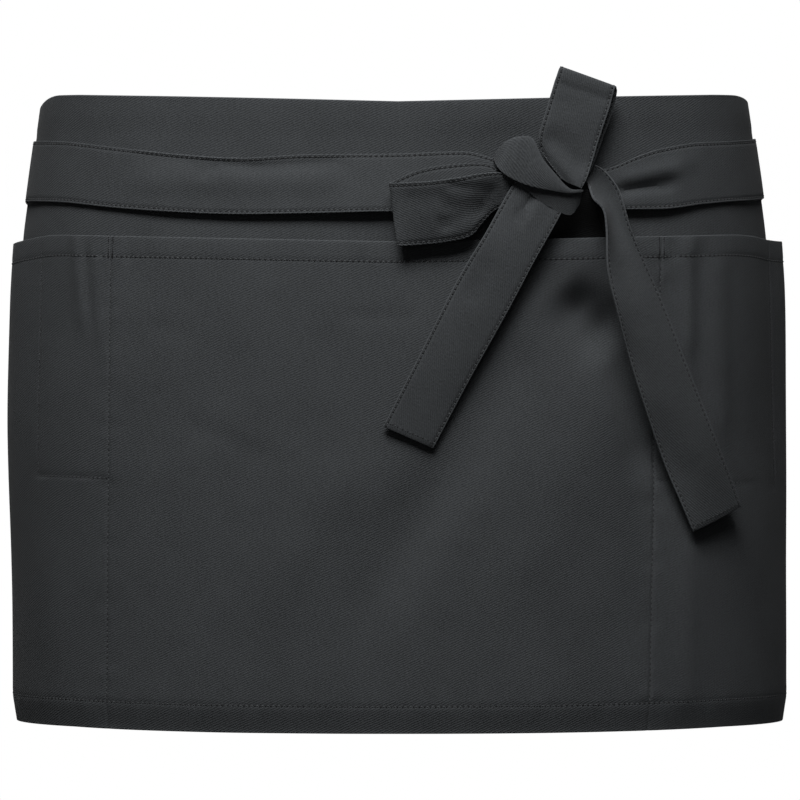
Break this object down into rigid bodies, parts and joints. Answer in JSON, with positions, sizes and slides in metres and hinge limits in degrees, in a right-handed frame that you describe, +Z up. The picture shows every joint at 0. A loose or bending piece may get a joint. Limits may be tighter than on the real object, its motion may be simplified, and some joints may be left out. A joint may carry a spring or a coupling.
{
  "type": "waist apron",
  "caption": "Short waist apron in its worn shape: a wrap panel, a full-width pocket layer sewn over it, and ties that cross behind and meet in a bow right of the middle.",
  "frame": {"origin": "middle of the waist opening, level with the middle of the ties at the front", "axes": "+Z up, -Y the way the apron's front faces, +X to the right of the front view"},
  "size_m": [0.392, 0.2467, 0.3331],
  "materials": {
    "dark_twill": "matt charcoal cotton twill"
  },
  "bodies": {
    "root": {"apron_panel": "dark_twill", "pocket_layer": "dark_twill", "tie_left": "dark_twill", "tie_right": "dark_twill", "bow_loop_left": "dark_twill", "bow_loop_upper": "dark_twill", "tail_left": "dark_twill", "tail_right": "dark_twill", "knot_wrap": "dark_twill"}
  },
  "joints": []
}
